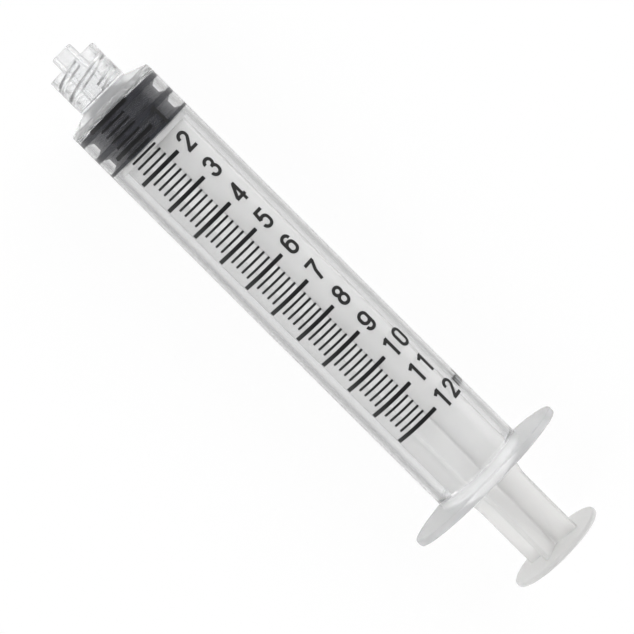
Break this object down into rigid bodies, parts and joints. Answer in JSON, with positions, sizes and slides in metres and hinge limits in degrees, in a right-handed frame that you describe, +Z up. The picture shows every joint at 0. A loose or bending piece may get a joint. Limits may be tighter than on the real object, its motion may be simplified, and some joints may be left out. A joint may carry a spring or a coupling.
{
  "type": "luer lock syringe",
  "caption": "Clear disposable syringe with a threaded luer lock nozzle, oval finger flange, printed millilitre scale, black rubber stopper and a ribbed translucent plunger rod.",
  "frame": {"origin": "under the middle of the whole syringe, on the surface that it lies on, which is the low edge of the finger flange", "axes": "+X runs along the syringe's axis from the luer tip to the thumb rest, +Y along the long axis of the oval flange, +Z up"},
  "size_m": [0.113, 0.0307, 0.0186],
  "materials": {
    "clear_barrel": "clear polypropylene, polished",
    "milky_rod": "natural polypropylene, milky and half gloss",
    "black_rubber": "smooth black synthetic rubber with a thin film of silicone",
    "black_ink": "black pad-printed ink"
  },
  "bodies": {
    "barrel": {"barrel": "clear_barrel", "printed_scale": "black_ink"},
    "stopper": {"rubber_stopper": "black_rubber"},
    "plunger": {"plunger_rod": "milky_rod"}
  },
  "joints": [
    {"name": "plunger_slide", "type": "slide", "parent": "barrel", "child": "stopper", "axis": [1, 0, 0], "range_m": [0, 0.0733]},
    {"name": "rod_turn", "type": "hinge", "parent": "stopper", "child": "plunger", "pos_m": [-0.03662, 0, 0.0093], "axis": [1, 0, 0], "continuous": true}
  ]
}
